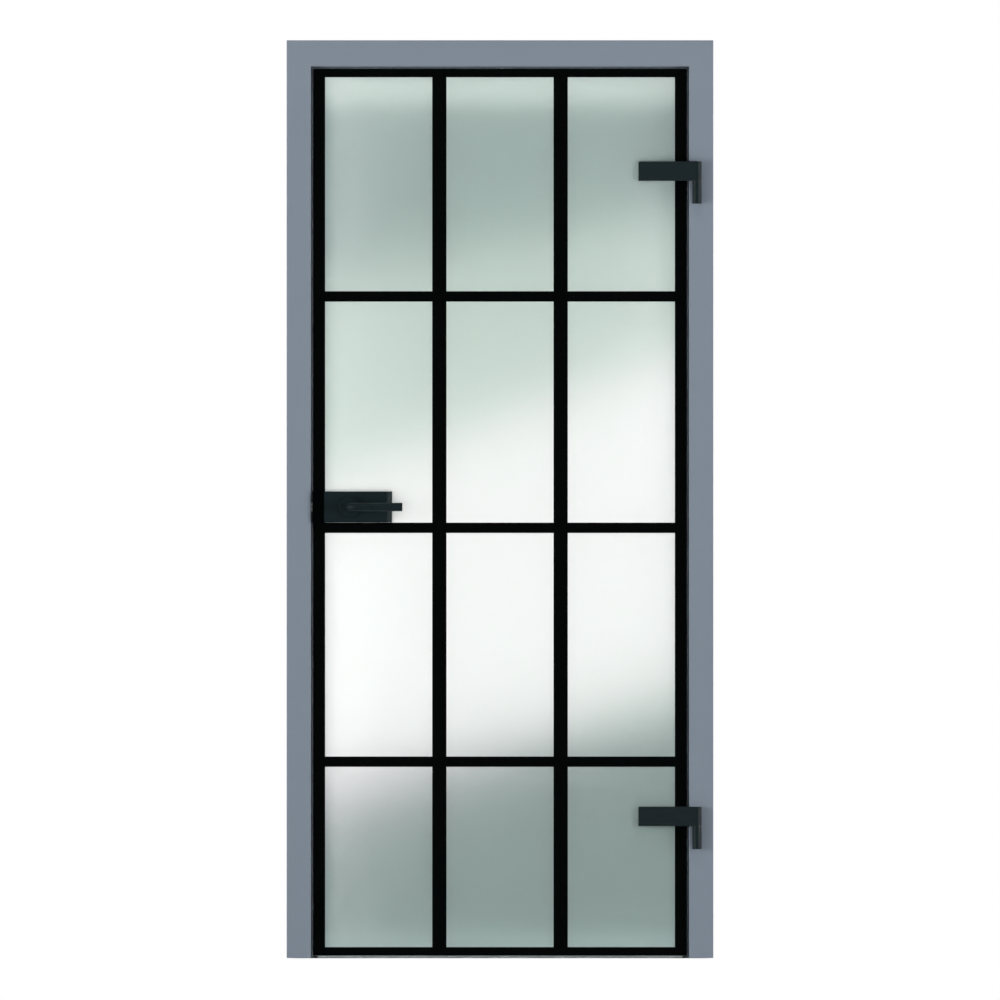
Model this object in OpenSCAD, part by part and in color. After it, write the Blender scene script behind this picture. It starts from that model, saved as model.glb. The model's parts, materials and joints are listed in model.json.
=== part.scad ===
// Satin glass door with a black grid, patch hinges and a lever lock, in a grey lined frame.
//
// X runs along the door (hinges at +X), -Y is the side the leaf opens to, Z is up from the floor.
// Sizes are millimetres. The door stands closed. The face of the wall is the plane y = 0 of every
// module, and at_centre() moves the finished piece so that the whole door is centred on the origin.

/* [Glass leaf] */
// Width of the glass
leaf_w = 834; // [650:1:1100]
// Height of the glass
leaf_h = 1975; // [1500:1:2400]
// Thickness of the toughened glass
glass_t = 8; // [6:1:12]
// Ground edge of the glass
arris = 1; // [0.5:0.5:2]
// Gap between the glass and the frame at each side
side_gap = 3.5; // [2:0.5:6]
// Gap between the glass and the frame at the top
top_gap = 4; // [2:0.5:6]
// Gap under the glass
floor_gap = 4; // [3:0.5:12]

/* [Black grid] */
// Width of the black band down each edge
band_w = 28; // [15:1:60]
// Height of the black band at the top and the bottom
band_h = 20; // [10:1:60]
// Number of columns of bare glass
columns = 3; // [2:1:5]
// Width of the black uprights
upright_w = 31.6; // [15:0.2:60]
// Height of the black rails
rail_h = 23; // [12:0.5:60]
// Height of the lower rail, in per cent of the glass
low_rail_at = 21.9; // [10:0.1:40]
// Height of the upper rail, in per cent of the glass
high_rail_at = 74.3; // [60:0.1:90]
// Thickness of the black enamel
enamel_t = 0.25; // [0.2:0.05:0.5]

/* [Frame] */
// Thickness of the wall that the frame goes round
wall_t = 100; // [80:1:330]
// Width of the architraves at the sides
side_architrave_w = 54; // [40:1:90]
// Height of the architraves over the door
head_architrave_w = 58; // [40:1:90]
// Thickness of the architraves
architrave_t = 12; // [10:1:20]
// Thickness of the lining board behind the rebate
lining_t = 30; // [25:1:40]
// Width of the stop that the glass closes against
stop_w = 15; // [12:1:25]
// Depth of the rebate behind the face of the wall
rebate_y = 12; // [10:1:20]

/* [Hinges] */
// Distance from the top of the rebate to the middle of the upper hinge
top_hinge_down = 233; // [150:1:400]
// Height of the middle of the lower hinge
low_hinge_z = 315; // [200:1:500]
// Height of the hinge plates
hinge_h = 43; // [30:1:80]
// Length of the hinge plates from the pin to the free end
hinge_l = 130; // [90:1:180]
// Diameter of the hinge knuckles
knuckle_d = 20.5; // [16:0.5:28]
// Diameter of the hinge pins
pin_d = 9; // [6:0.5:12]
// Length of the barrels on the frame
barrel_l = 50; // [35:1:80]
// Gap between the knuckles and the architrave
knuckle_gap = 1.75; // [1:0.25:6]

/* [Lock and lever] */
// Height of the lever
lever_z = 1003; // [900:1:1100]
// Length of the lock case
case_l = 177; // [150:1:220]
// Height of the lock case
case_h = 69; // [64:1:90]
// Depth of the lock case in front of the wall
case_y = 18; // [17:0.5:24]
// Distance from the edge of the glass to the spindle
backset = 82; // [75:1:100]
// Diameter of the lever bar
lever_d = 18.6; // [14:0.2:24]
// Length of the lever from the spindle to its end
lever_l = 118; // [90:1:150]
// How far the front of the lever stands out from the wall
lever_out = 66; // [55:1:80]
// Diameter of the roses
rose_d = 46; // [40:1:56]
// Width of the square spindle
spindle_w = 8; // [7:1:9]
// How far the latch reaches into the frame
latch_out = 7; // [5:0.5:9]

/* [Fixings] */
// Diameter of the holes for the wall screws
wall_hole_d = 6; // [5:0.5:8]
// Diameter of the heads of the wall screws
wall_head_d = 11; // [9:0.5:12]

/* [Show] */
// Piece to draw

/* [Hidden] */
$fn = 48;
rx = leaf_w / 2 + side_gap;
rz = floor_gap + leaf_h + top_gap;
ox = rx + side_architrave_w;
oz = rz + head_architrave_w;
lx = rx + lining_t;
lz = rz + lining_t;
sx = rx - stop_w;
sz = rz - stop_w;
depth = wall_t - 16;
back_y = wall_t + architrave_t;
mid_y = (back_y - lever_out) / 2;
glass_y = rebate_y - 3 - glass_t;
glass_back = glass_y + glass_t;
front_y = glass_y - enamel_t - 1;
rear_y = glass_back + 1;
edge_x = leaf_w / 2;
top_z = floor_gap + leaf_h;
mid_rail_z = lever_z - case_h / 2 - rail_h / 2 - 0.3;
rails = [
  floor_gap + leaf_h * low_rail_at / 100,
  mid_rail_z,
  floor_gap + leaf_h * high_rail_at / 100
];
pane_w = (leaf_w - 2 * band_w - (columns - 1) * upright_w) / columns;
pin_x = edge_x + 21;
kr = knuckle_d / 2;
pin_out = architrave_t + kr + knuckle_gap;
pr = pin_d / 2;
bush_r = pr + 1.5;
top_hinge_z = rz - top_hinge_down;
clamp_x = [pin_x - hinge_l + 24, pin_x - hinge_l + 68];
sleeve_r = 7.5;
case_x = -edge_x;
spin_x = -edge_x + backset;
case_end = case_x + case_l;
wall = 2.5;
base_t = 1.2;
cover_x = -sx + 5.5;
cover_y = rear_y + 14;
lock_screws = [
  [spin_x - 40, lever_z - 22],
  [case_end - 28, lever_z + 18],
  [case_end - 28, lever_z - 18]
];
lock_sleeve_r = 6.5;
bar_r = lever_d / 2;
arm_y = -lever_out + bar_r;
rose_t = 6;
mirror_y = (cover_y - case_y) / 2;
latch_y0 = front_y - base_t - 6.75;
latch_y1 = front_y - base_t - 0.25;
keep_y0 = latch_y0 - 1.6;
keep_y1 = max(latch_y1 + 1.6, -0.1);
throw = 11;
arm_r = 16;
tip_r = 2.5;
arm_w = 3.2;
fix_low = 150;
fix_high = rz - 103;
tongue_in = stop_w - 5.5;
front_slope = head_architrave_w / side_architrave_w;
rear_slope = (head_architrave_w + tongue_in) / (side_architrave_w + tongue_in);
fix_z = [for (k = [0:3]) fix_low + (fix_high - fix_low) * k / 3];

// ---- helpers ----

module at_centre() {
  translate([0, -mid_y, 0]) children();
}

// an outline drawn in X and Z, run from y0 to y1
module run_y(y0, y1) {
  translate([0, y1, 0])
    rotate([90, 0, 0])
      linear_extrude(y1 - y0) children();
}

// an outline drawn in Y and Z, run from x0 to x1
module run_x(x0, x1) {
  translate([x0, 0, 0])
    rotate([90, 0, 90])
      linear_extrude(x1 - x0) children();
}

module run_z(z0, z1) {
  translate([0, 0, z0])
    linear_extrude(z1 - z0) children();
}

module rod_y(x, z, r, y0, y1) {
  translate([x, y1, z])
    rotate([90, 0, 0])
      cylinder(r = r, h = y1 - y0);
}

module rod_x(y, z, r, x0, x1) {
  translate([x0, y, z])
    rotate([0, 90, 0])
      cylinder(r = r, h = x1 - x0);
}

module block(x0, x1, y0, y1, z0, z1) {
  translate([x0, y0, z0])
    cube([x1 - x0, y1 - y0, z1 - z0]);
}

// a countersunk screw along +Y, head at the far end, with a hexagon socket
module screw_y(x, z, r, head_r, y0, y1) {
  difference() {
    union() {
      rod_y(x, z, r, y0, y1);
      translate([x, y1, z])
        rotate([90, 0, 0])
          cylinder(r1 = head_r, r2 = r, h = head_r - r);
    }
    translate([x, y1 + 1, z])
      rotate([90, 0, 0])
        cylinder(r = head_r * 0.45, h = head_r * 0.5 + 1, $fn = 6);
  }
}

module screw_hole_y(x, z, r, head_r, y0, y1) {
  rod_y(x, z, r, y0, y1 + 1);
  translate([x, y1, z])
    rotate([90, 0, 0])
      cylinder(r1 = head_r, r2 = r, h = head_r - r);
}

// the space that a countersunk wood screw fills, along X from its head at x = 0 to its point
module wood_screw_hole(r, head_r, l) {
  rotate([0, 90, 0])
    rotate_extrude()
      polygon([[0, 0], [head_r, 0], [r, head_r - r], [r, l - 4], [0.4, l], [0, l]]);
}

// the screw itself, with a hexagon socket
module wood_screw(r, head_r, l) {
  difference() {
    wood_screw_hole(r, head_r, l);
    translate([-1, 0, 0])
      rotate([0, 90, 0])
        cylinder(r = head_r * 0.45, h = head_r * 0.4 + 1, $fn = 6);
  }
}

// a coil spring standing on z = 0
module coil(r, wire, l, turns) {
  n = 16 * turns;
  s = 8;
  pitch = (l - wire) / turns;
  ring = [for (i = [0:n]) for (k = [0:s - 1])
    let (a = i * 22.5, b = k * 360 / s, d = r + wire / 2 * cos(b))
    [d * cos(a), d * sin(a), wire / 2 + pitch * i / 16 + wire / 2 * sin(b)]];
  sides = [for (i = [0:n - 1]) for (k = [0:s - 1])
    [i * s + k, i * s + (k + 1) % s, (i + 1) * s + (k + 1) % s, (i + 1) * s + k]];
  ends = [
    [for (k = [0:s - 1]) s - 1 - k],
    [for (k = [0:s - 1]) n * s + k]
  ];
  polyhedron(ring, concat(sides, ends), convexity = 4);
}

// ---- frame ----

// what lies under the mitre line at the hinge side
module side_cut(slope, u) {
  far = 2 * rx;
  low = rz + u - (rx + u) * slope;
  run_y(-50, wall_t + 50)
    polygon([[0, -1], [far, -1], [far, low + far * slope], [0, low]]);
}

// what lies above both mitre lines
module head_cut(slope, u) {
  far = 2 * rx;
  low = rz + u - (rx + u) * slope;
  run_y(-50, wall_t + 50)
    polygon([[-far, low + far * slope], [0, low], [far, low + far * slope]]);
}

// the outlines below have the rebate at u = 0, the opening at -u, and y as in the door
module lining_outline() {
  g = stop_w - 5.3;
  difference() {
    union() {
      square([lining_t, depth]);
      translate([-stop_w, rebate_y])
        square([stop_w + 1, depth - rebate_y]);
    }
    translate([-stop_w + 3.7, rebate_y - 1])
      square([2.6, 7]);
    translate([-g, depth - 24])
      square([8.4, 25]);
  }
}

module architrave_outline(w) {
  polygon([
    [0, -architrave_t + 1], [1, -architrave_t], [w - 1, -architrave_t],
    [w, -architrave_t + 1], [w, 0], [0, 0]
  ]);
}

module rear_architrave_outline(w) {
  g = tongue_in;
  polygon([
    [-g, wall_t], [w, wall_t], [w, back_y - 1],
    [w - 1, back_y], [-g + 1, back_y], [-g, back_y - 1]
  ]);
}

// the tongue of the rear architrave, which slides in the groove of the lining
module tongue_outline() {
  translate([-tongue_in, depth - 18])
    square([8, wall_t - depth + 18]);
}

module seal_outline() {
  translate([-stop_w + 3.7, rebate_y])
    square([2.6, 5.6]);
  difference() {
    translate([-stop_w + 5, rebate_y])
      circle(2.7, $fn = 24);
    translate([-stop_w + 5, rebate_y])
      circle(1.7, $fn = 24);
    translate([-stop_w, rebate_y])
      square([10, 5]);
  }
  translate([-stop_w + 1.5, rebate_y - 0.8])
    square([7, 0.8]);
}

module side_piece(slope, h, u = 0) {
  intersection() {
    translate([rx, 0, 0])
      linear_extrude(h) children();
    side_cut(slope, u);
  }
}

module head_piece(slope, u = 0) {
  intersection() {
    translate([-ox, 0, rz])
      rotate([90, 0, 90])
        linear_extrude(2 * ox)
          mirror([1, -1, 0]) children();
    head_cut(slope, u);
  }
}

// countersunk holes through the rebate for the wall screws
module wall_holes() {
  y = rebate_y / 2;
  for (z = fix_z) {
    rod_x(y, z, wall_hole_d / 2, rx - 1, lx + 1);
    translate([rx - 0.01, y, z])
      rotate([0, 90, 0])
        cylinder(r1 = wall_head_d / 2, r2 = wall_hole_d / 2, h = (wall_head_d - wall_hole_d) / 2);
  }
}

barrel_mid = hinge_h / 2 + 1 + barrel_l / 2;
hinge_zs = [low_hinge_z, top_hinge_z];
stud_zs = [-15, 15];
rec_y0 = 20;
rec_y1 = 40;
rec_x = pin_x - 8;

module bracket_screw_places() {
  for (d = [25, 65]) {
    translate([lx + 2, 32, lz + 2 - d]) rotate([0, 0, 180]) children();
    translate([lx + 2 - d, 32, lz + 2]) rotate([0, 90, 0]) children();
  }
}

module hinge_side_lining() {
  color("#81888f")
    difference() {
      side_piece(1, lz + 1) lining_outline();
      wall_holes();
      for (h = hinge_zs) {
        z = h - barrel_mid;
        block(rec_x, lx + 1, rec_y0, rec_y1, z - 30, z + 30);
        for (s = stud_zs)
          rod_y(pin_x, z + s, 4.3, -1, rec_y0 + 1);
        for (s = [-25, 25])
          translate([lx, 30, z + s]) mirror([1, 0, 0]) wood_screw_hole(2, 4, 38);
      }
      bracket_screw_places() wood_screw_hole(2, 4, 24);
    }
}

module lock_side_lining() {
  color("#81888f")
    difference() {
      mirror([1, 0, 0])
        difference() {
          side_piece(1, lz + 1) lining_outline();
          wall_holes();
          bracket_screw_places() wood_screw_hole(2, 4, 24);
        }
      block(-rx - 2, -rx + 1, -1, 8.4, lever_z - 55, lever_z + 55);
      block(-rx - 17, -rx, keep_y0, keep_y1, lever_z - 13.5, lever_z + 13.5);
      for (s = [-45, 45])
        translate([-rx, 4.2, lever_z + s]) mirror([1, 0, 0]) wood_screw_hole(1.75, 3.5, 24);
    }
}

module head_lining() {
  color("#81888f")
    difference() {
      head_piece(1) lining_outline();
      for (m = [0, 1])
        mirror([m, 0, 0]) bracket_screw_places() wood_screw_hole(2, 4, 24);
    }
}

module hinge_side_front_architrave() {
  color("#81888f")
    difference() {
      side_piece(front_slope, oz + 1) architrave_outline(side_architrave_w);
      for (h = hinge_zs)
        for (s = stud_zs)
          rod_y(pin_x, h - barrel_mid + s, 4.3, -architrave_t - 1, 1);
    }
}

module lock_side_front_architrave() {
  color("#81888f")
    difference() {
      mirror([1, 0, 0])
        side_piece(front_slope, oz + 1) architrave_outline(side_architrave_w);
      block(-rx - 2, -rx + 1, 1 - architrave_t, 1, lever_z - 55, lever_z + 55);
      block(-rx - 17, -rx, keep_y0, keep_y1, lever_z - 13.5, lever_z + 13.5);
    }
}

module head_front_architrave() {
  color("#81888f")
    head_piece(front_slope) architrave_outline(head_architrave_w);
}

module hinge_side_rear_architrave() {
  color("#81888f") {
    side_piece(rear_slope, oz + 1, -tongue_in) rear_architrave_outline(side_architrave_w);
    side_piece(1, oz + 1) tongue_outline();
  }
}

module lock_side_rear_architrave() {
  mirror([1, 0, 0]) hinge_side_rear_architrave();
}

module head_rear_architrave() {
  color("#81888f") {
    head_piece(rear_slope, -tongue_in) rear_architrave_outline(head_architrave_w);
    head_piece(1) tongue_outline();
  }
}

module hinge_side_seal() {
  color("#1c1e20")
    side_piece(1, rz) seal_outline();
}

module lock_side_seal() {
  color("#1c1e20")
    mirror([1, 0, 0])
      side_piece(1, rz) seal_outline();
}

module head_seal() {
  color("#1c1e20")
    head_piece(1) seal_outline();
}

module corner_brackets() {
  color("#b4b8bb")
    for (m = [0, 1])
      mirror([m, 0, 0])
        difference() {
          union() {
            block(lx, lx + 2, 20, 44, lz - 78, lz + 2);
            block(lx - 78, lx + 2, 20, 44, lz, lz + 2);
          }
          bracket_screw_places() wood_screw_hole(2, 4, 24);
        }
}

module corner_bracket_screws() {
  color("#c9ccce")
    for (m = [0, 1])
      mirror([m, 0, 0])
        bracket_screw_places() wood_screw(2, 4, 24);
}

module strike_plate() {
  color("#8d9296")
    difference() {
      block(-rx - 2, -rx, 1 - architrave_t, 8.4, lever_z - 55, lever_z + 55);
      block(-rx - 3, -rx + 1, latch_y0 - 0.4, latch_y1 + 0.4, lever_z - 11.5, lever_z + 11.5);
      for (s = [-45, 45])
        translate([-rx, 4.2, lever_z + s]) mirror([1, 0, 0]) wood_screw_hole(1.75, 3.5, 24);
    }
}

module strike_box() {
  color("#1c1e20")
    difference() {
      block(-rx - 17, -rx - 2, keep_y0, keep_y1, lever_z - 13.5, lever_z + 13.5);
      block(-rx - 16, -rx - 1, latch_y0 - 0.4, latch_y1 + 0.4, lever_z - 12.3, lever_z + 12.3);
    }
}

module strike_screws() {
  color("#c9ccce")
    for (s = [-45, 45])
      translate([-rx, 4.2, lever_z + s]) mirror([1, 0, 0]) wood_screw(1.75, 3.5, 24);
}

// ---- hinge parts on the frame ----

module barrel(h) {
  z = h - barrel_mid;
  color("#242a2c")
    difference() {
      union() {
        translate([pin_x, -pin_out, z - barrel_l / 2])
          rotate_extrude()
            polygon([
              [0, 0], [kr - 0.6, 0], [kr, 0.6], [kr, barrel_l - 0.4],
              [kr - 0.4, barrel_l], [0, barrel_l]
            ]);
        for (s = stud_zs) {
          rod_y(pin_x, z + s, 7, -pin_out + 4, -architrave_t);
          rod_y(pin_x, z + s, 4, -pin_out + 4, rec_y1 - 2);
        }
      }
      translate([pin_x, -pin_out, z - barrel_l / 2 + 6])
        cylinder(r = pr, h = barrel_l);
    }
}

module pin(h) {
  z = h - barrel_mid - barrel_l / 2 + 6;
  color("#aeb3b6")
    translate([pin_x, -pin_out, z])
      rotate_extrude()
        polygon([
          [0, 0], [pr, 0], [pr, barrel_l + hinge_h - 11],
          [pr - 1, barrel_l + hinge_h - 10], [0, barrel_l + hinge_h - 10]
        ]);
}

module receiver(h) {
  z = h - barrel_mid;
  color("#9a9fa3")
    difference() {
      block(rec_x, lx, rec_y0, rec_y1, z - 30, z + 30);
      for (s = stud_zs)
        rod_y(pin_x, z + s, 4, rec_y0 - 1, rec_y1 + 1);
      for (s = [-25, 25])
        translate([lx, 30, z + s]) mirror([1, 0, 0]) wood_screw_hole(2, 4, 38);
    }
}

module upper_hinge_barrel() {
  barrel(top_hinge_z);
}

module lower_hinge_barrel() {
  barrel(low_hinge_z);
}

module upper_hinge_pin() {
  pin(top_hinge_z);
}

module lower_hinge_pin() {
  pin(low_hinge_z);
}

module upper_hinge_receiver() {
  receiver(top_hinge_z);
}

module lower_hinge_receiver() {
  receiver(low_hinge_z);
}

module receiver_screws() {
  color("#c9ccce")
    for (h = hinge_zs)
      for (s = [-25, 25])
        translate([lx, 30, h - barrel_mid + s]) mirror([1, 0, 0]) wood_screw(2, 4, 38);
}

// ---- leaf ----

module glass_holes() {
  for (h = hinge_zs)
    for (x = clamp_x)
      rod_y(x, h, sleeve_r + 0.5, -5, glass_back + 5);
  for (p = lock_screws)
    rod_y(p[0], p[1], lock_sleeve_r + 0.5, -5, glass_back + 5);
  rod_y(spin_x, lever_z, 10, -5, glass_back + 5);
}

// a rectangle with cut corners
module cut_rect(w, h, c) {
  polygon([
    [c, 0], [w - c, 0], [w, c], [w, h - c],
    [w - c, h], [c, h], [0, h - c], [0, c]
  ]);
}

module glass_pane() {
  color("#cfdcd6")
    difference() {
      intersection() {
        translate([-edge_x, glass_y, floor_gap])
          linear_extrude(leaf_h) cut_rect(leaf_w, glass_t, arris);
        translate([0, glass_y, floor_gap])
          run_x(-edge_x, edge_x) cut_rect(glass_t, leaf_h, arris);
      }
      glass_holes();
    }
}

module grid_solid() {
  bottoms = [floor_gap + band_h, for (r = rails) r + rail_h / 2];
  tops = [for (r = rails) r - rail_h / 2, top_z - band_h];
  run_y(glass_y - enamel_t, glass_y)
    difference() {
      translate([-edge_x + arris, floor_gap + arris])
        square([leaf_w - 2 * arris, leaf_h - 2 * arris]);
      for (c = [0:columns - 1])
        for (k = [0:3])
          translate([-edge_x + band_w + c * (pane_w + upright_w), bottoms[k]])
            square([pane_w, tops[k] - bottoms[k]]);
    }
}

module black_grid() {
  color("#0a0c0c")
    difference() {
      grid_solid();
      glass_holes();
    }
}

// the wedge that rises from the glass to the knuckle
module hinge_outline() {
  y0 = front_y - 8;
  x0 = pin_x - hinge_l + 1;
  dx = pin_x - x0;
  dy = -pin_out - y0;
  d = sqrt(dx * dx + dy * dy);
  t = sqrt(d * d - kr * kr);
  a = atan2(dy, dx) - asin(kr / d);
  difference() {
    union() {
      polygon([
        [x0 - 1, front_y], [x0 - 1, y0 + 1], [x0, y0],
        [x0 + t * cos(a), y0 + t * sin(a)], [pin_x, -pin_out], [pin_x, -pin_out + kr],
        [edge_x + 1, -pin_out + kr], [edge_x - 3, -pin_out + kr + 4], [edge_x - 3, front_y]
      ]);
      translate([pin_x, -pin_out])
        circle(kr);
    }
  }
}

module front_plate(h) {
  color("#242a2c")
    difference() {
      run_z(h - hinge_h / 2, h + hinge_h / 2) hinge_outline();
      translate([pin_x, -pin_out, h - hinge_h / 2 - 1])
        cylinder(r = bush_r, h = hinge_h - 2);
      for (x = clamp_x)
        rod_y(x, h, 4, front_y - 6, front_y + 1);
    }
}

module rear_plate(h) {
  color("#242a2c")
    difference() {
      translate([pin_x - hinge_l, rear_y, h - hinge_h / 2])
        intersection() {
          run_z(0, hinge_h)
            polygon([
              [0, 0], [91, 0], [91, 7], [90, 8], [1, 8], [0, 7]
            ]);
          run_x(0, 91)
            polygon([
              [0, 0], [7, 0], [8, 1], [8, hinge_h - 1], [7, hinge_h], [0, hinge_h]
            ]);
        }
      for (x = clamp_x)
        screw_hole_y(x, h, 4.2, 7.7, rear_y - 1, rear_y + 8);
    }
}

module bush(h) {
  color("#24282a")
    translate([pin_x, -pin_out, h - hinge_h / 2])
      rotate_extrude()
        polygon([
          [pr + 0.03, -1], [kr - 0.6, -1], [kr - 0.6, 0], [bush_r, 0],
          [bush_r, hinge_h - 4], [pr + 0.03, hinge_h - 4]
        ]);
}

module upper_hinge_plate() {
  front_plate(top_hinge_z);
}

module lower_hinge_plate() {
  front_plate(low_hinge_z);
}

module upper_hinge_rear_plate() {
  rear_plate(top_hinge_z);
}

module lower_hinge_rear_plate() {
  rear_plate(low_hinge_z);
}

module upper_hinge_bush() {
  bush(top_hinge_z);
}

module lower_hinge_bush() {
  bush(low_hinge_z);
}

module hinge_front_gaskets() {
  x0 = pin_x - hinge_l + 0.5;
  color("#2b2d2e")
    difference() {
      for (h = hinge_zs)
        block(x0, edge_x - 3.5, front_y, glass_y, h - hinge_h / 2 + 0.5, h + hinge_h / 2 - 0.5);
      grid_solid();
      for (h = hinge_zs)
        for (x = clamp_x)
          rod_y(x, h, sleeve_r, front_y - 1, glass_y + 1);
    }
}

module hinge_rear_gaskets() {
  x0 = pin_x - hinge_l + 0.5;
  color("#2b2d2e")
    difference() {
      for (h = hinge_zs)
        block(x0, x0 + 90, glass_back, rear_y, h - hinge_h / 2 + 0.5, h + hinge_h / 2 - 0.5);
      for (h = hinge_zs)
        for (x = clamp_x)
          rod_y(x, h, sleeve_r, glass_back - 1, rear_y + 1);
    }
}

module hinge_sleeves() {
  color("#24282a")
    for (h = hinge_zs)
      for (x = clamp_x)
        difference() {
          rod_y(x, h, sleeve_r, front_y, rear_y);
          rod_y(x, h, 4.3, front_y - 1, rear_y + 1);
        }
}

module hinge_clamp_screws() {
  color("#2e3436")
    for (h = hinge_zs)
      for (x = clamp_x)
        screw_y(x, h, 4, 7.5, front_y - 5.5, rear_y + 8);
}

// ---- lock ----

// an outline in X and Y with a rounded end on the room side
module case_outline(x0, x1, y0, y1, r) {
  intersection() {
    translate([x0, y0])
      square([x1 - x0, y1 - y0]);
    union() {
      translate([x0, y0])
        square([x1 - x0 - r, y1 - y0]);
      translate([x0, y0 + r])
        square([x1 - x0, y1 - y0]);
      translate([x1 - r, y0 + r])
        circle(r);
    }
  }
}

module lock_case() {
  z0 = lever_z - case_h / 2;
  z1 = lever_z + case_h / 2;
  color("#242a2c")
    difference() {
      union() {
        difference() {
          run_z(z0, z1)
            case_outline(case_x, case_end, -case_y, front_y, 14);
          run_z(z0 + wall, z1 - wall)
            case_outline(case_x + wall, case_end - wall, -case_y + wall, front_y + 20, 11.5);
        }
        // posts for the clamp screws
        for (p = lock_screws)
          rod_y(p[0], p[1], 5, -case_y + 1, front_y - base_t);
        // guide for the latch
        block(case_x + 1, case_x + 25, -case_y + 1, front_y - base_t, lever_z - 13, lever_z + 13);
        // seat of the latch spring
        block(case_x + 58, case_x + 61, -case_y + 1, front_y - base_t, lever_z - 9, lever_z - 1);
      }
      // way for the latch
      block(
        case_x - 1, case_x + 26, latch_y0 - 0.15, front_y - base_t + 0.01,
        lever_z - 10.2, lever_z + 10.2
      );
      rod_y(spin_x, lever_z, 7.05, -case_y - 1, -case_y + wall + 1);
      for (p = lock_screws)
        rod_y(p[0], p[1], 2.5, -case_y + 4, front_y);
    }
}

module lock_base_plate() {
  color("#9a9fa3")
    difference() {
      block(
        case_x + wall, case_end - wall, front_y - base_t, front_y,
        lever_z - case_h / 2 + wall, lever_z + case_h / 2 - wall
      );
      rod_y(spin_x, lever_z, 7.05, -5, 5);
      for (p = lock_screws)
        rod_y(p[0], p[1], 2.6, -5, 5);
    }
}

module lock_front_gasket() {
  color("#2b2d2e")
    difference() {
      block(
        case_x + 1, case_end - 0.5, front_y, glass_y,
        lever_z - case_h / 2 + 0.5, lever_z + case_h / 2 - 0.5
      );
      grid_solid();
      rod_y(spin_x, lever_z, 10, -5, 5);
      for (p = lock_screws)
        rod_y(p[0], p[1], lock_sleeve_r, -5, 5);
    }
}

module lock_rear_gasket() {
  color("#2b2d2e")
    difference() {
      block(
        cover_x + 0.5, case_end - 0.5, glass_back, rear_y,
        lever_z - case_h / 2 + 0.5, lever_z + case_h / 2 - 0.5
      );
      rod_y(spin_x, lever_z, 10, glass_back - 1, rear_y + 1);
      for (p = lock_screws)
        rod_y(p[0], p[1], lock_sleeve_r, glass_back - 1, rear_y + 1);
    }
}

module lock_rear_plate() {
  color("#9a9fa3")
    difference() {
      block(
        cover_x + 2, case_end - 2, rear_y, rear_y + 3,
        lever_z - case_h / 2 + 2, lever_z + case_h / 2 - 2
      );
      rod_y(spin_x, lever_z, 7.05, rear_y - 1, rear_y + 4);
      for (p = lock_screws)
        screw_hole_y(p[0], p[1], 2.6, 5.1, rear_y - 1, rear_y + 3);
    }
}

module lock_rear_cover() {
  z0 = lever_z - case_h / 2;
  z1 = lever_z + case_h / 2;
  color("#242a2c")
    difference() {
      mirror([0, 1, 0])
        difference() {
          run_z(z0, z1)
            case_outline(cover_x, case_end, -cover_y, -rear_y, 10);
          run_z(z0 + 2, z1 - 2)
            case_outline(cover_x + 2, case_end - 2, -cover_y + 2, -rear_y + 20, 8);
        }
      rod_y(spin_x, lever_z, 8.5, rear_y, cover_y + 1);
    }
}

module lock_sleeves() {
  color("#24282a")
    for (p = lock_screws)
      difference() {
        rod_y(p[0], p[1], lock_sleeve_r, front_y, rear_y);
        rod_y(p[0], p[1], 2.8, front_y - 1, rear_y + 1);
      }
}

module lock_clamp_screws() {
  color("#2e3436")
    for (p = lock_screws)
      screw_y(p[0], p[1], 2.5, 5, -case_y + 6, rear_y + 3);
}

module rose() {
  translate([spin_x, -case_y, lever_z])
    rotate([90, 0, 0])
      rotate_extrude()
        polygon([
          [8.05, 0], [rose_d / 2, 0], [rose_d / 2, rose_t - 1],
          [rose_d / 2 - 1, rose_t], [8.05, rose_t]
        ]);
}

module front_rose() {
  color("#242a2c") rose();
}

module rear_rose() {
  color("#242a2c")
    translate([0, 2 * mirror_y, 0]) mirror([0, 1, 0]) rose();
}

module lever() {
  bend = 15;
  neck = -case_y - rose_t - 0.3;
  difference() {
    union() {
      rod_y(spin_x, lever_z, bar_r, arm_y + bend, neck);
      rod_y(spin_x, lever_z, 8, neck - 1, -case_y - 0.6);
      translate([spin_x + bend, arm_y + bend, lever_z])
        rotate([0, 0, 180])
          rotate_extrude(angle = 90)
            translate([bend, 0]) circle(bar_r);
      translate([spin_x + bend, arm_y, lever_z])
        rotate([0, 90, 0])
          rotate_extrude()
            polygon([
              [0, 0], [bar_r, 0], [bar_r, lever_l - bend - 0.8],
              [bar_r - 0.8, lever_l - bend], [0, lever_l - bend]
            ]);
    }
    block(
      spin_x - spindle_w / 2 - 0.05, spin_x + spindle_w / 2 + 0.05,
      arm_y + 5, 0,
      lever_z - spindle_w / 2 - 0.05, lever_z + spindle_w / 2 + 0.05
    );
    translate([spin_x, neck - 8, lever_z - bar_r - 1])
      cylinder(r = 2.5, h = bar_r);
  }
}

module front_lever() {
  color("#2b3234") lever();
}

module rear_lever() {
  color("#2b3234")
    translate([0, 2 * mirror_y, 0]) mirror([0, 1, 0]) lever();
}

module spindle() {
  h = spindle_w / 2;
  color("#aeb3b6")
    block(
      spin_x - h, spin_x + h, arm_y + 6, 2 * mirror_y - arm_y - 6,
      lever_z - h, lever_z + h
    );
}

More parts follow.
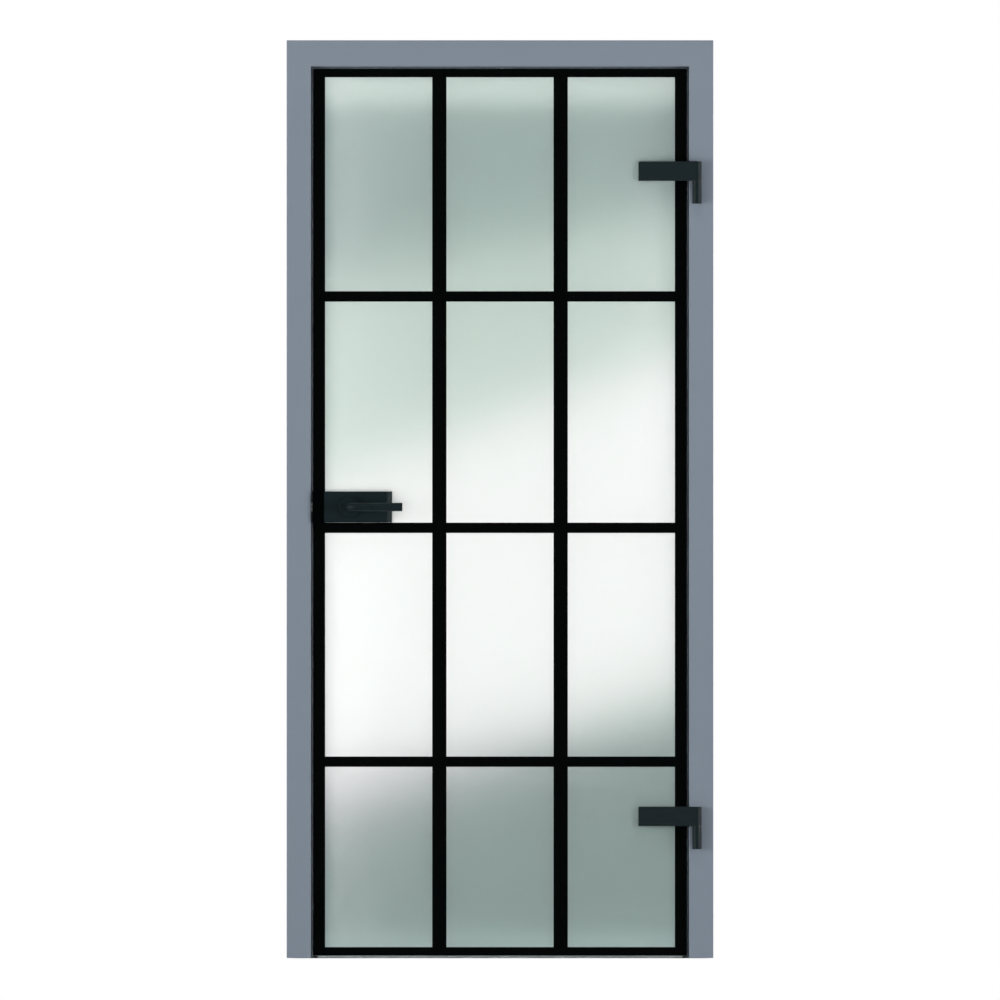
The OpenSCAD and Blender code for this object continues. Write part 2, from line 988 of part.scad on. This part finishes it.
module follower() {
  h = spindle_w / 2 + 0.05;
  y0 = -case_y + wall + 0.2;
  y1 = front_y - base_t - 0.2;
  color("#b08d57")
    difference() {
      union() {
        rod_y(spin_x, lever_z, 9, y0, y1);
        rod_y(spin_x, lever_z, 7, -case_y + 0.3, front_y);
        // arm that draws the latch and arm that the spring lifts
        for (a = [-20, 70])
          translate([spin_x, 0, lever_z])
            rotate([0, a, 0]) {
              block(-arm_w / 2, arm_w / 2, latch_y0, latch_y1, 0, arm_r);
              rod_y(0, arm_r, tip_r, latch_y0, latch_y1);
            }
      }
      block(spin_x - h, spin_x + h, -50, 50, lever_z - h, lever_z + h);
    }
}

module lever_grub_screws() {
  h = bar_r - spindle_w / 2 - 0.5;
  color("#2e3436")
    for (m = [0, 1])
      translate([0, m * 2 * mirror_y, 0])
        mirror([0, m, 0])
          translate([spin_x, -case_y - rose_t - 8.3, lever_z - spindle_w / 2 - h])
            difference() {
              cylinder(r = 2.5, h = h);
              translate([0, 0, -1])
                cylinder(r = 1.4, h = 3, $fn = 6);
            }
}

module latch_bolt() {
  tip = -rx - latch_out;
  lip = spin_x - arm_r * sin(20) + tip_r + 0.3;
  z0 = lever_z + arm_r + tip_r + 0.8;
  color("#c3c7c9")
    union() {
      run_z(lever_z - 10, lever_z + 10)
        polygon([
          [tip, latch_y0], [case_x + 31, latch_y0], [case_x + 31, latch_y1],
          [tip + 6.5, latch_y1], [tip, latch_y0 + 1.2]
        ]);
      block(case_x + 27, case_x + 31, latch_y0, latch_y1, lever_z, z0 + 5);
      block(case_x + 27, lip + 5, latch_y0, latch_y1, z0, z0 + 5);
      block(lip, lip + 5, latch_y0, latch_y1, lever_z + arm_r * cos(20) - 1.2, z0 + 5);
    }
}

module latch_spring() {
  color("#c9ccce")
    translate([case_x + 31, (latch_y0 + latch_y1) / 2, lever_z - 5])
      rotate([0, 90, 0]) coil(2.6, 0.8, 27, 8);
}

module lever_spring() {
  z0 = lever_z - case_h / 2 + wall;
  color("#c9ccce")
    translate([spin_x + arm_r * cos(20), (latch_y0 + latch_y1) / 2, z0])
      coil(2.6, 0.8, lever_z + arm_r * sin(20) - tip_r - z0 - 0.2, 8);
}

// ---- the pieces ----

at_centre() hinge_side_lining();
at_centre() lock_side_lining();
at_centre() head_lining();
at_centre() hinge_side_front_architrave();
at_centre() lock_side_front_architrave();
at_centre() head_front_architrave();
at_centre() hinge_side_rear_architrave();
at_centre() lock_side_rear_architrave();
at_centre() head_rear_architrave();
at_centre() hinge_side_seal();
at_centre() lock_side_seal();
at_centre() head_seal();
at_centre() corner_brackets();
at_centre() corner_bracket_screws();
at_centre() strike_plate();
at_centre() strike_box();
at_centre() strike_screws();
at_centre() upper_hinge_barrel();
at_centre() lower_hinge_barrel();
at_centre() upper_hinge_pin();
at_centre() lower_hinge_pin();
at_centre() upper_hinge_receiver();
at_centre() lower_hinge_receiver();
at_centre() receiver_screws();
at_centre() glass_pane();
at_centre() black_grid();
at_centre() upper_hinge_plate();
at_centre() lower_hinge_plate();
at_centre() upper_hinge_rear_plate();
at_centre() lower_hinge_rear_plate();
at_centre() upper_hinge_bush();
at_centre() lower_hinge_bush();
at_centre() hinge_front_gaskets();
at_centre() hinge_rear_gaskets();
at_centre() hinge_sleeves();
at_centre() hinge_clamp_screws();
at_centre() lock_case();
at_centre() lock_base_plate();
at_centre() lock_front_gasket();
at_centre() lock_rear_gasket();
at_centre() lock_rear_plate();
at_centre() lock_rear_cover();
at_centre() lock_sleeves();
at_centre() lock_clamp_screws();
at_centre() front_rose();
at_centre() rear_rose();
at_centre() latch_spring();
at_centre() lever_spring();
at_centre() front_lever();
at_centre() rear_lever();
at_centre() spindle();
at_centre() follower();
at_centre() lever_grub_screws();
at_centre() latch_bolt();
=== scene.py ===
import json
import math

import bpy
from mathutils import Matrix, Vector


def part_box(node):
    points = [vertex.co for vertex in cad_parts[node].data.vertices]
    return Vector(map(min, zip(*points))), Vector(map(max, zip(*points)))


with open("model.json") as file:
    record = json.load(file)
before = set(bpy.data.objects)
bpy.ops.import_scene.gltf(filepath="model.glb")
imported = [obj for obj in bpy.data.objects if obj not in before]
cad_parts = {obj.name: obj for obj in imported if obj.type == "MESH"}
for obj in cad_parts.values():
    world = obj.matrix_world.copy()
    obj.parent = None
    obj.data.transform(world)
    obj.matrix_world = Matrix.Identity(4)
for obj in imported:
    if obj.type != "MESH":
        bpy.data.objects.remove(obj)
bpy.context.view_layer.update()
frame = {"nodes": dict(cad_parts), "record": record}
nodes = frame["nodes"]
scene = bpy.context.scene


def srgb(r, g, b):
    """The linear colour of three values from 0 to 255."""
    out = []
    for v in (r, g, b):
        v = v / 255
        out.append(v / 12.92 if v <= 0.04045 else ((v + 0.055) / 1.055) ** 2.4)
    return (*out, 1.0)


# ---- materials ----


class Mat:
    """A node material with one Principled shader and a few helpers to wire textures in."""

    def __init__(self, name):
        self.m = bpy.data.materials.new(name)
        self.m.use_nodes = True
        self.n = self.m.node_tree.nodes
        self.l = self.m.node_tree.links
        self.b = self.n["Principled BSDF"]
        self.coord = self.n.new("ShaderNodeTexCoord").outputs["Object"]

    def set(self, **values):
        names = {
            "metal": "Metallic", "ior": "IOR", "spec": "Specular IOR Level", "coat": "Coat Weight",
            "coat_rough": "Coat Roughness", "trans": "Transmission Weight",
        }
        for k, v in values.items():
            self.b.inputs[names[k]].default_value = v

    def stretch(self, scale):
        node = self.n.new("ShaderNodeMapping")
        node.inputs["Scale"].default_value = scale
        self.l.new(self.coord, node.inputs["Vector"])
        return node.outputs["Vector"]

    def noise(self, scale, detail=3.0, rough=0.5, at=None):
        node = self.n.new("ShaderNodeTexNoise")
        node.inputs["Scale"].default_value = scale
        node.inputs["Detail"].default_value = detail
        node.inputs["Roughness"].default_value = rough
        self.l.new(at or self.coord, node.inputs["Vector"])
        return node.outputs["Fac"]

    def ramp(self, fac, stops):
        node = self.n.new("ShaderNodeValToRGB")
        e = node.color_ramp.elements
        while len(e) < len(stops):
            e.new(0.5)
        for k, (at, col) in enumerate(stops):
            e[k].position = at
            e[k].color = col
        self.l.new(fac, node.inputs["Fac"])
        return node.outputs["Color"]

    def span(self, fac, low, high):
        node = self.n.new("ShaderNodeMapRange")
        node.inputs["From Min"].default_value = 0.3
        node.inputs["From Max"].default_value = 0.7
        node.inputs["To Min"].default_value = low
        node.inputs["To Max"].default_value = high
        self.l.new(fac, node.inputs["Value"])
        return node.outputs["Result"]

    def colour(self, socket):
        self.l.new(socket, self.b.inputs["Base Color"])

    def roughness(self, socket):
        self.l.new(socket, self.b.inputs["Roughness"])

    def blacken(self, edge, spec):
        """Colour and gloss fall to almost nothing where the piece's own X is under edge."""
        place = self.n.new("ShaderNodeSeparateXYZ")
        self.l.new(self.coord, place.inputs[0])
        step = self.n.new("ShaderNodeMapRange")
        blur = 0.0004
        step.inputs["From Min"].default_value = edge - blur
        step.inputs["From Max"].default_value = edge + blur
        step.inputs["To Min"].default_value = 0.05
        self.l.new(place.outputs["X"], step.inputs["Value"])
        base = self.b.inputs["Base Color"]
        mix = self.n.new("ShaderNodeMix")
        mix.data_type = "RGBA"
        first_colour, second_colour, mixed_colour = mix.inputs[6], mix.inputs[7], mix.outputs[2]
        first_colour.default_value = (0.0005, 0.0005, 0.0005, 1.0)
        self.l.new(step.outputs["Result"], mix.inputs["Factor"])
        self.l.new(base.links[0].from_socket, second_colour)
        self.l.new(mixed_colour, base)
        gloss = self.n.new("ShaderNodeMath")
        gloss.operation = "MULTIPLY"
        gloss.inputs[1].default_value = spec
        self.l.new(step.outputs["Result"], gloss.inputs[0])
        self.l.new(gloss.outputs["Value"], self.b.inputs["Specular IOR Level"])

    def bump(self, height, strength, distance, after=None):
        node = self.n.new("ShaderNodeBump")
        node.inputs["Strength"].default_value = strength
        node.inputs["Distance"].default_value = distance
        self.l.new(height, node.inputs["Height"])
        if after:
            self.l.new(after, node.inputs["Normal"])
        self.l.new(node.outputs["Normal"], self.b.inputs["Normal"])
        return node.outputs["Normal"]


def shade(rgb, f):
    return (*[min(1.0, c * f) for c in rgb[:3]], 1.0)


def mottled(mat, rgb, scale, spread, at=None):
    """The base colour with soft patches a little lighter and darker."""
    f = mat.noise(scale, 4.0, 0.55, at)
    mat.colour(mat.ramp(f, [(0.3, shade(rgb, 1 - spread)), (0.7, shade(rgb, 1 + spread))]))


def lacquer():
    m = Mat("grey_lacquer")
    rgb = srgb(127, 137, 149)
    mottled(m, rgb, 7.0, 0.012)
    m.set(spec=0.35, coat=0.12, coat_rough=0.35)
    m.roughness(m.span(m.noise(60.0, 3.0), 0.44, 0.52))
    first = m.bump(m.noise(650.0, 2.0), 0.05, 0.0004)
    m.bump(m.noise(90.0, 2.0), 0.03, 0.0006, first)
    return m.m


def rubber(name, rgb, scale=900.0):
    m = Mat(name)
    mottled(m, rgb, 40.0, 0.10)
    m.set(spec=0.3)
    m.roughness(m.span(m.noise(120.0), 0.62, 0.78))
    m.bump(m.noise(scale, 3.0), 0.2, 0.0002)
    return m.m


def brushed(name, rgb, scale, rough=(0.24, 0.36), spread=0.07, strength=0.12):
    """Metal with fine lines; scale is large across the lines and small along them."""
    m = Mat(name)
    at = m.stretch(scale)
    f = m.noise(1.0, 4.0, 0.6, at)
    m.colour(m.ramp(f, [(0.3, shade(rgb, 1 - spread)), (0.7, shade(rgb, 1 + spread))]))
    m.set(metal=1.0)
    m.roughness(m.span(f, *rough))
    m.bump(f, strength, 0.0001)
    return m.m


def zinc():
    m = Mat("zinc_steel")
    cells = m.n.new("ShaderNodeTexVoronoi")
    cells.inputs["Scale"].default_value = 160.0
    m.l.new(m.coord, cells.inputs["Vector"])
    rgb = srgb(176, 180, 184)
    m.colour(m.ramp(cells.outputs["Distance"], [(0.0, shade(rgb, 0.88)), (0.8, shade(rgb, 1.06))]))
    m.set(metal=1.0)
    m.roughness(m.span(m.noise(90.0), 0.30, 0.44))
    m.bump(cells.outputs["Distance"], 0.05, 0.0002)
    return m.m


def coating(name, rgb, low=0.46, high=0.56, grain=0.10, black_to=None):
    """Satin graphite coating on cast and milled metal: even in colour, fine in grain.

    Up to black_to along the piece's own X it is a matt black instead.
    """
    m = Mat(name)
    mottled(m, rgb, 35.0, 0.05)
    m.set(spec=graphite_gloss)
    m.roughness(m.span(m.noise(80.0, 3.0), low, high))
    first = m.bump(m.noise(1800.0, 2.0), grain, 0.0002)
    m.bump(m.noise(160.0, 2.0), 0.03, 0.0004, first)
    if black_to is not None:
        m.blacken(black_to, graphite_gloss)
    return m.m


def enamel():
    m = Mat("black_enamel")
    mottled(m, srgb(3, 5, 5), 20.0, 0.15)
    m.set(spec=0.02)
    m.roughness(m.span(m.noise(70.0, 3.0), 0.42, 0.55))
    m.bump(m.noise(400.0, 2.0), 0.04, 0.0002)
    return m.m


def satin_glass():
    """Toughened glass etched to an even satin: light comes through, shapes don't."""
    m = Mat("satin_glass")
    mottled(m, (0.70, 0.86, 0.82, 1.0), 5.0, 0.010)
    m.set(trans=0.86, ior=1.5, spec=0.45)
    m.roughness(m.span(m.noise(30.0, 3.0), 0.60, 0.66))
    m.bump(m.noise(1500.0, 2.0), 0.06, 0.0002)
    return m.m


def plastic(name, rgb, low, high):
    m = Mat(name)
    mottled(m, rgb, 60.0, 0.04)
    m.set(spec=0.4)
    m.roughness(m.span(m.noise(140.0), low, high))
    m.bump(m.noise(900.0, 2.0), 0.12, 0.0002)
    return m.m


graphite, graphite_gloss = srgb(11, 27, 30), 0.18
looks = {
    "grey_lacquer": lacquer(),
    "black_seal": rubber("black_seal", srgb(14, 16, 17)),
    "zinc_steel": zinc(),
    "satin_steel": brushed("satin_steel", srgb(150, 153, 156), (900.0, 900.0, 12.0)),
    "bright_steel": brushed(
        "bright_steel", srgb(196, 199, 202),
        (30.0, 30.0, 1500.0), (0.16, 0.26), 0.04, 0.06,
    ),
    "spring_steel": brushed("spring_steel", srgb(186, 190, 194), (400.0, 400.0, 400.0), (0.22, 0.34)),
    "nickel_steel": brushed(
        "nickel_steel", srgb(198, 199, 198),
        (15.0, 700.0, 700.0), (0.18, 0.30), 0.04, 0.08,
    ),
    "black_steel": brushed("black_steel", srgb(58, 62, 65), (300.0, 300.0, 300.0), (0.34, 0.48)),
    "graphite_coating": coating("graphite_coating", graphite),
    "black_plastic": plastic("black_plastic", srgb(30, 31, 33), 0.48, 0.62),
    "black_nylon": plastic("black_nylon", srgb(24, 26, 27), 0.38, 0.52),
    "fibre_gasket": rubber("fibre_gasket", srgb(48, 50, 51), 500.0),
    "satin_glass": satin_glass(),
    "black_enamel": enamel(),
    "brass": brushed("brass", srgb(176, 144, 88), (250.0, 250.0, 250.0), (0.24, 0.36)),
}

slots = {s["node"]: s["material_slot"] for s in frame["record"]["subparts"]}
for name, obj in nodes.items():
    look = looks[slots[name]]
    if not obj.material_slots:
        obj.data.materials.append(look)
    for s in obj.material_slots:
        s.material = look


# the end of the lock case that lies over the leaf's edge band is black
band_edge_x = -0.391
over_band = nodes["lock_case"].matrix_world.inverted() @ Vector((band_edge_x, 0.0, 0.0))
case_look = coating("graphite_case", graphite, black_to=over_band.x)
for s in nodes["lock_case"].material_slots:
    s.material = case_look


# ---- softened edges on the machined and cast pieces ----


plate_edge, fine_edge = 0.0006, 0.0004


def soften(name, width):
    mod = nodes[name].modifiers.new("edges", "BEVEL")
    mod.width = width
    mod.segments = 2
    mod.limit_method = "ANGLE"
    mod.angle_limit = math.radians(40)
    mod.use_clamp_overlap = True
    mod.harden_normals = False


for name in (
    "upper_hinge_plate", "lower_hinge_plate", "upper_hinge_rear_plate", "lower_hinge_rear_plate",
    "lock_case", "lock_rear_cover",
):
    soften(name, plate_edge)
for name in ("front_rose", "rear_rose", "front_lever", "rear_lever"):
    soften(name, fine_edge)
for place in ("hinge_side", "lock_side", "head"):
    for face in ("front", "rear"):
        soften(f"{place}_{face}_architrave", fine_edge)


# ---- stage ----


def stage_floor():
    """A pale floor that the camera sees as white, but for the shade under and behind the leaf."""
    reach, z = 7.0, -0.0005
    mesh = bpy.data.meshes.new("floor")
    corners = [(-reach, -reach, z), (reach, -reach, z), (reach, reach, z), (-reach, reach, z)]
    mesh.from_pydata(corners, [], [(0, 1, 2, 3)])
    obj = bpy.data.objects.new("floor", mesh)
    scene.collection.objects.link(obj)
    m = bpy.data.materials.new("pale_floor")
    m.use_nodes = True
    n, l = m.node_tree.nodes, m.node_tree.links
    b = n["Principled BSDF"]
    b.inputs["Base Color"].default_value = (0.86, 0.86, 0.86, 1.0)
    b.inputs["Roughness"].default_value = 0.8
    b.inputs["Specular IOR Level"].default_value = 0.1
    glow = n.new("ShaderNodeEmission")
    glow.inputs["Color"].default_value = (1, 1, 1, 1)
    glow.inputs["Strength"].default_value = 1.0
    mix = n.new("ShaderNodeMixShader")
    ray = n.new("ShaderNodeLightPath")
    place = n.new("ShaderNodeSeparateXYZ")
    l.new(n.new("ShaderNodeTexCoord").outputs["Object"], place.inputs[0])

    def math_node(kind, first, second=None):
        node = n.new("ShaderNodeMath")
        node.operation = kind
        l.new(first, node.inputs[0])
        if second:
            l.new(second, node.inputs[1])
        return node.outputs["Value"]

    def clear_of(distance, near, far):
        """0 up to near, 1 from far on."""
        fade = n.new("ShaderNodeMapRange")
        fade.inputs["From Min"].default_value = near
        fade.inputs["From Max"].default_value = far
        l.new(distance, fade.inputs["Value"])
        return fade.outputs["Result"]

    # real shade shows only between the jambs and in the lee of the leaf
    jamb_inside, jamb_outside = 0.450, 0.474
    beside = clear_of(math_node("ABSOLUTE", place.outputs["X"]), jamb_inside, jamb_outside)
    behind_leaf = clear_of(place.outputs["Y"], near=0.25, far=0.40)
    in_front = clear_of(place.outputs["Y"], near=-0.040, far=-0.050)
    clear = math_node("MAXIMUM", beside, math_node("MAXIMUM", behind_leaf, in_front))
    l.new(math_node("MULTIPLY", clear, ray.outputs["Is Camera Ray"]), mix.inputs["Fac"])
    l.new(b.outputs["BSDF"], mix.inputs[1])
    l.new(glow.outputs["Emission"], mix.inputs[2])
    l.new(mix.outputs["Shader"], n["Material Output"].inputs["Surface"])
    mesh.materials.append(m)
    return obj


floor = stage_floor()


door_middle = Vector((0, 0, 1.0))


def area(name, at, size, power):
    """A soft box that looks at the middle of the door."""
    data = bpy.data.lights.new(name, "AREA")
    data.shape = "RECTANGLE"
    data.size, data.size_y = size
    data.energy = power
    obj = bpy.data.objects.new(name, data)
    obj.location = at
    obj.rotation_mode = "QUATERNION"
    obj.rotation_quaternion = (door_middle - Vector(at)).to_track_quat("-Z", "Y")
    obj.visible_camera = False
    scene.collection.objects.link(obj)
    return obj


def linked(name, objects, state="INCLUDE"):
    """A collection that says which pieces a light reaches, or which cast its shadows."""
    coll = bpy.data.collections.new(name)
    for obj in objects:
        coll.objects.link(obj)
    for entry in coll.collection_objects:
        entry.light_linking.link_state = state
    return coll


glass = nodes["glass_pane"]
only_glass = linked("only_glass", [glass])
no_glass_no_floor = linked("no_glass_no_floor", [glass, floor], "EXCLUDE")
leaf_shadows = linked("leaf_shadows", [nodes[n] for n in frame["record"]["behaviour"]["bodies"]["leaf"]])

# four soft boxes well off to the sides, so that no flat face mirrors one to the camera
off_side, key_y, key_z, rear_y, rear_z = 5.4, -3.3, 0.5, 3.6, 1.2
area("key_left", at=(-off_side, key_y, key_z), size=(4.2, 3.4), power=394)
area("key_right", at=(off_side, key_y, key_z), size=(1.8, 3.2), power=360)
for side, x in (("left", -off_side), ("right", off_side)):
    rear = area("rear_" + side, at=(x, rear_y, rear_z), size=(3.0, 3.2), power=250)
    rear.light_linking.receiver_collection = no_glass_no_floor
area("key_top", at=(0, -2.6, 5.0), size=(2.4, 1.6), power=36)


# ---- light through the leaf ----


def behind(name, x, z, width, height, level, tilt=0, colour=(1, 1, 1), gap=0.30):
    """A soft panel behind the leaf that only the glass takes light from.

    level is the panel's radiance, so its brightness doesn't change with its size. tilt turns
    it in its own plane, in degrees, and gap is how far behind the glass it stands.
    """
    data = bpy.data.lights.new(name, "AREA")
    data.shape = "RECTANGLE"
    data.size, data.size_y = width, height
    data.energy = level * math.pi * width * height
    data.color = colour
    obj = bpy.data.objects.new(name, data)
    obj.location = (x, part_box("glass_pane")[1].y + gap, z)
    across = Vector((math.cos(math.radians(tilt)), 0, math.sin(math.radians(tilt))))
    back = Vector((0, 1, 0))
    obj.rotation_mode = "QUATERNION"
    obj.rotation_quaternion = Matrix((across, back.cross(across), back)).transposed().to_quaternion()
    obj.visible_camera = False
    obj.light_linking.receiver_collection = only_glass
    obj.light_linking.blocker_collection = leaf_shadows
    scene.collection.objects.link(obj)
    return obj


behind(
    "wide_behind", x=0.1, z=1.043, width=1.6, height=1.105, tilt=9, level=0.67,
    colour=(1.0, 0.91, 0.835),
)
behind(
    "band_behind", x=0.1, z=0.868, width=1.6, height=0.71, tilt=20, level=0.80,
    colour=(1.0, 0.60, 0.735),
)
behind(
    "left_behind", x=-0.75, z=1.05, width=0.5, height=2.3, level=2.5,
    colour=(1.0, 0.75, 0.81), gap=0.45,
)
behind(
    "right_behind", x=0.72, z=1.43, width=0.4, height=0.76, level=3.6,
    colour=(1.0, 0.64, 0.79), gap=0.35,
)
behind("upper_behind", x=-0.15, z=1.80, width=1.0, height=0.45, level=0.18, colour=(1.0, 1.0, 0.96))
behind(
    "head_behind", x=0.0, z=2.03, width=1.1, height=0.25, level=0.72,
    colour=(1.0, 0.84, 0.82), gap=0.12,
)
behind("foot_behind", x=0.0, z=0.0, width=0.9, height=0.10, level=0.26, gap=0.10)


# ---- world: white for the camera, a dim even room for everything else ----

world = bpy.data.worlds.new("studio")
scene.world = world
world.use_nodes = True
wn, wl = world.node_tree.nodes, world.node_tree.links
room = wn["Background"]
room.inputs["Color"].default_value = (0.92, 0.97, 1.0, 1.0)
room.inputs["Strength"].default_value = 0.12
white = wn.new("ShaderNodeBackground")
white.inputs["Color"].default_value = (1, 1, 1, 1)
white.inputs["Strength"].default_value = 1.0
ray = wn.new("ShaderNodeLightPath")
mix = wn.new("ShaderNodeMixShader")
wl.new(ray.outputs["Is Camera Ray"], mix.inputs["Fac"])
wl.new(room.outputs["Background"], mix.inputs[1])
wl.new(white.outputs["Background"], mix.inputs[2])
wl.new(mix.outputs["Shader"], wn["World Output"].inputs["Surface"])


# ---- camera: straight on to the opening side ----

lens, sensor = 1000.0, 36.0
seen_width, middle_z = 2.224, 1.0186
face_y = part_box("head_front_architrave")[0].y
cam_data = bpy.data.cameras.new("camera")
cam_data.lens = lens
cam_data.sensor_width = sensor
cam_data.clip_start, cam_data.clip_end = 0.1, 100.0
cam = bpy.data.objects.new("camera", cam_data)
cam.location = (0.0, face_y - seen_width * lens / sensor, middle_z)
cam.rotation_euler = (math.radians(90), 0.0, 0.0)
scene.collection.objects.link(cam)
scene.camera = cam

scene.view_settings.view_transform = "Standard"
scene.view_settings.look = "None"
scene.cycles.use_denoising = True
